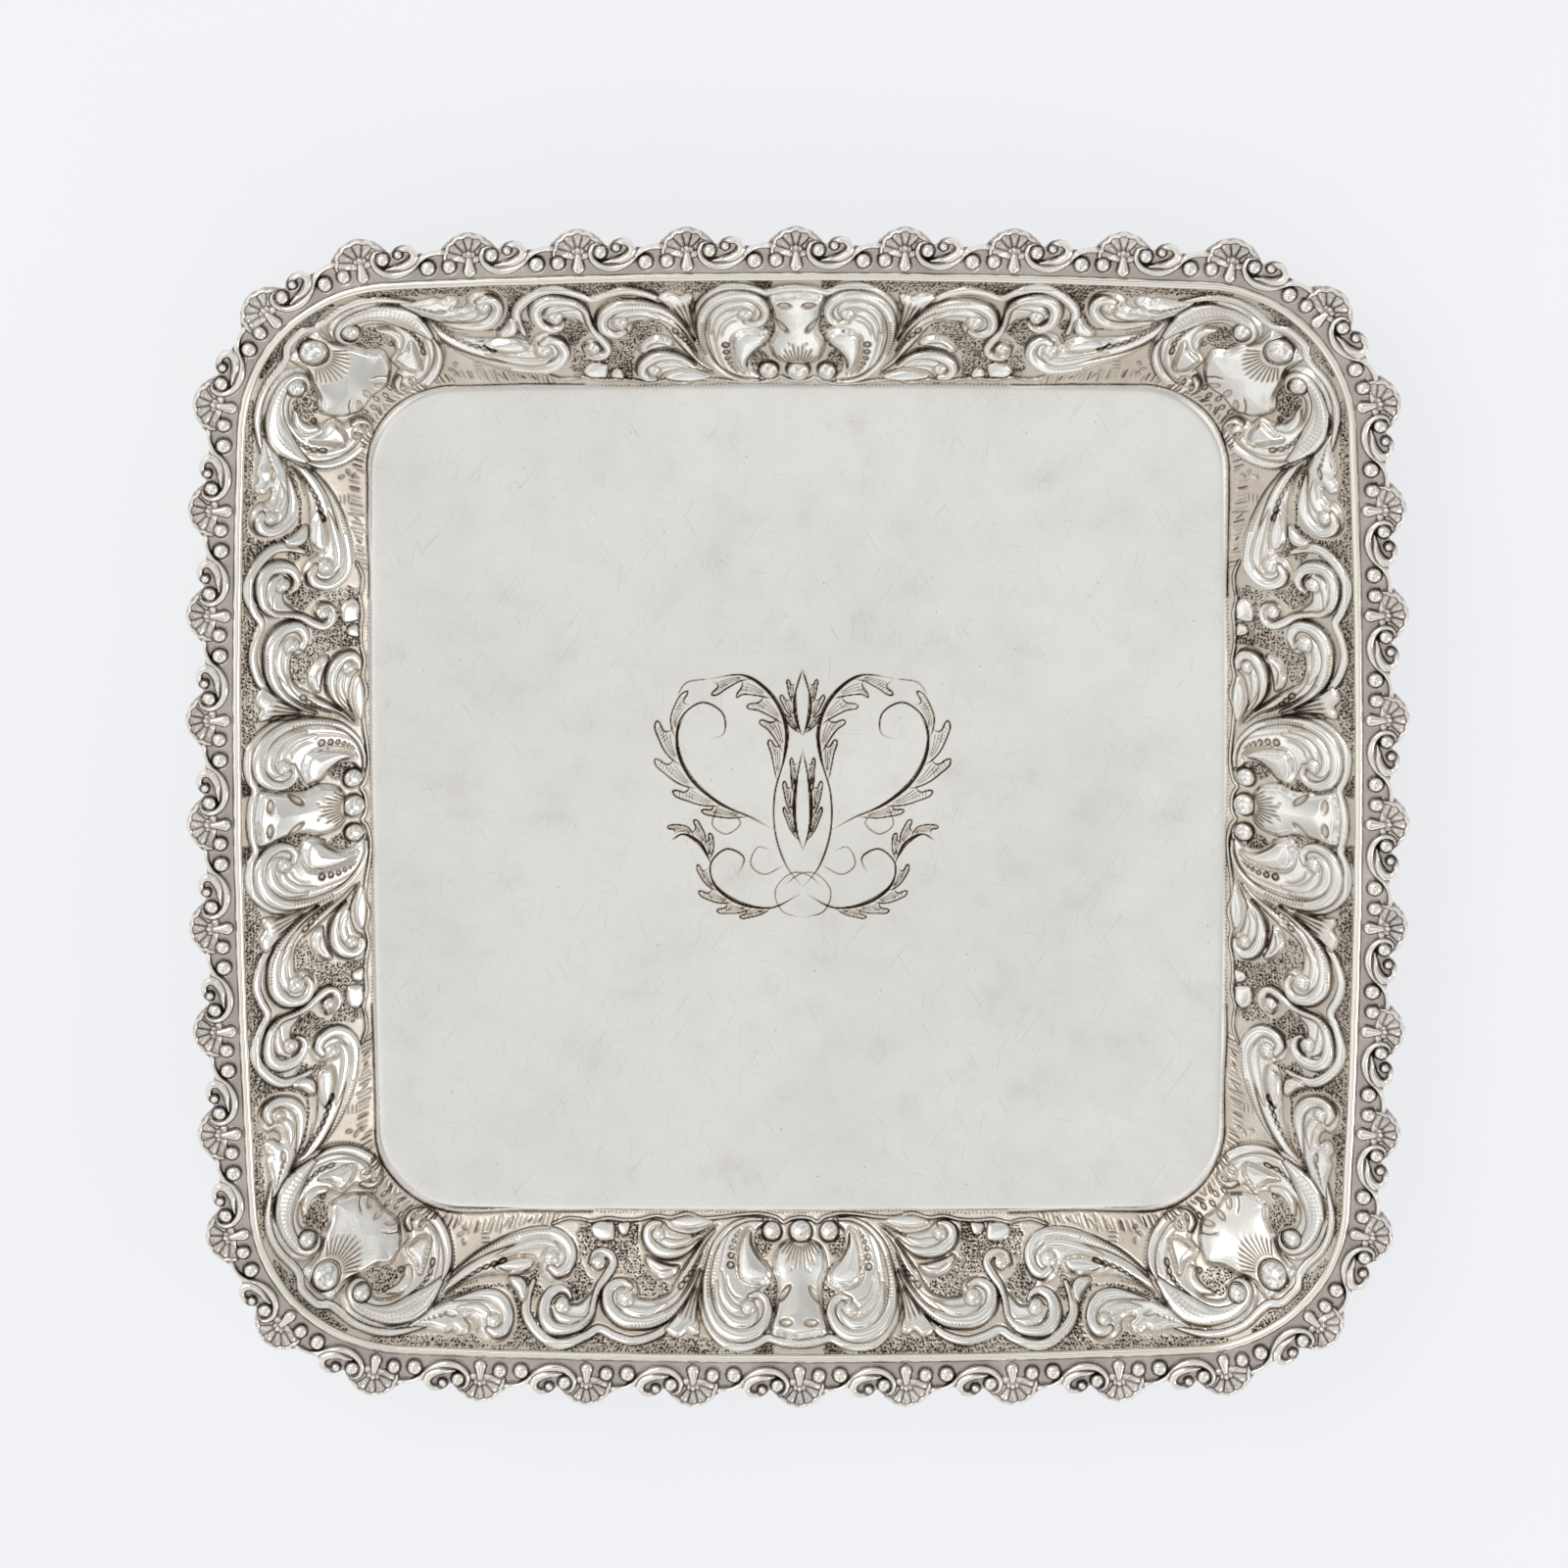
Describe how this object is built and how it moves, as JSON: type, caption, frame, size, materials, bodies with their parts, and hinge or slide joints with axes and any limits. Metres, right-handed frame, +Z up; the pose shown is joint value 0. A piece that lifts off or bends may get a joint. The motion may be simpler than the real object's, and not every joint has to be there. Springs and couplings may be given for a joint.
{
  "type": "square silver salver",
  "caption": "Square silver tray with a flat well, a sloping chased border, a shell-and-scroll edge and small scroll feet to stand on.",
  "frame": {"origin": "centre of the footprint, on the surface that the four feet stand on", "axes": "+Z up out of the well, +X to the right and +Y to the back edge, each square to a side of the tray"},
  "size_m": [0.3, 0.3, 0.0353],
  "materials": {
    "sheet_silver": "satin",
    "wire_silver": "polished",
    "cast_silver": "satin"
  },
  "bodies": {
    "root": {"tray_body": "sheet_silver", "rim_wire_back_right": "wire_silver", "rim_wire_front_right": "wire_silver", "rim_wire_front_left": "wire_silver", "rim_wire_back_left": "wire_silver", "applied_border_back_right": "cast_silver", "applied_border_front_right": "cast_silver", "applied_border_front_left": "cast_silver", "applied_border_back_left": "cast_silver", "foot_back_right": "cast_silver", "foot_front_right": "cast_silver", "foot_front_left": "cast_silver", "foot_back_left": "cast_silver"}
  },
  "joints": []
}
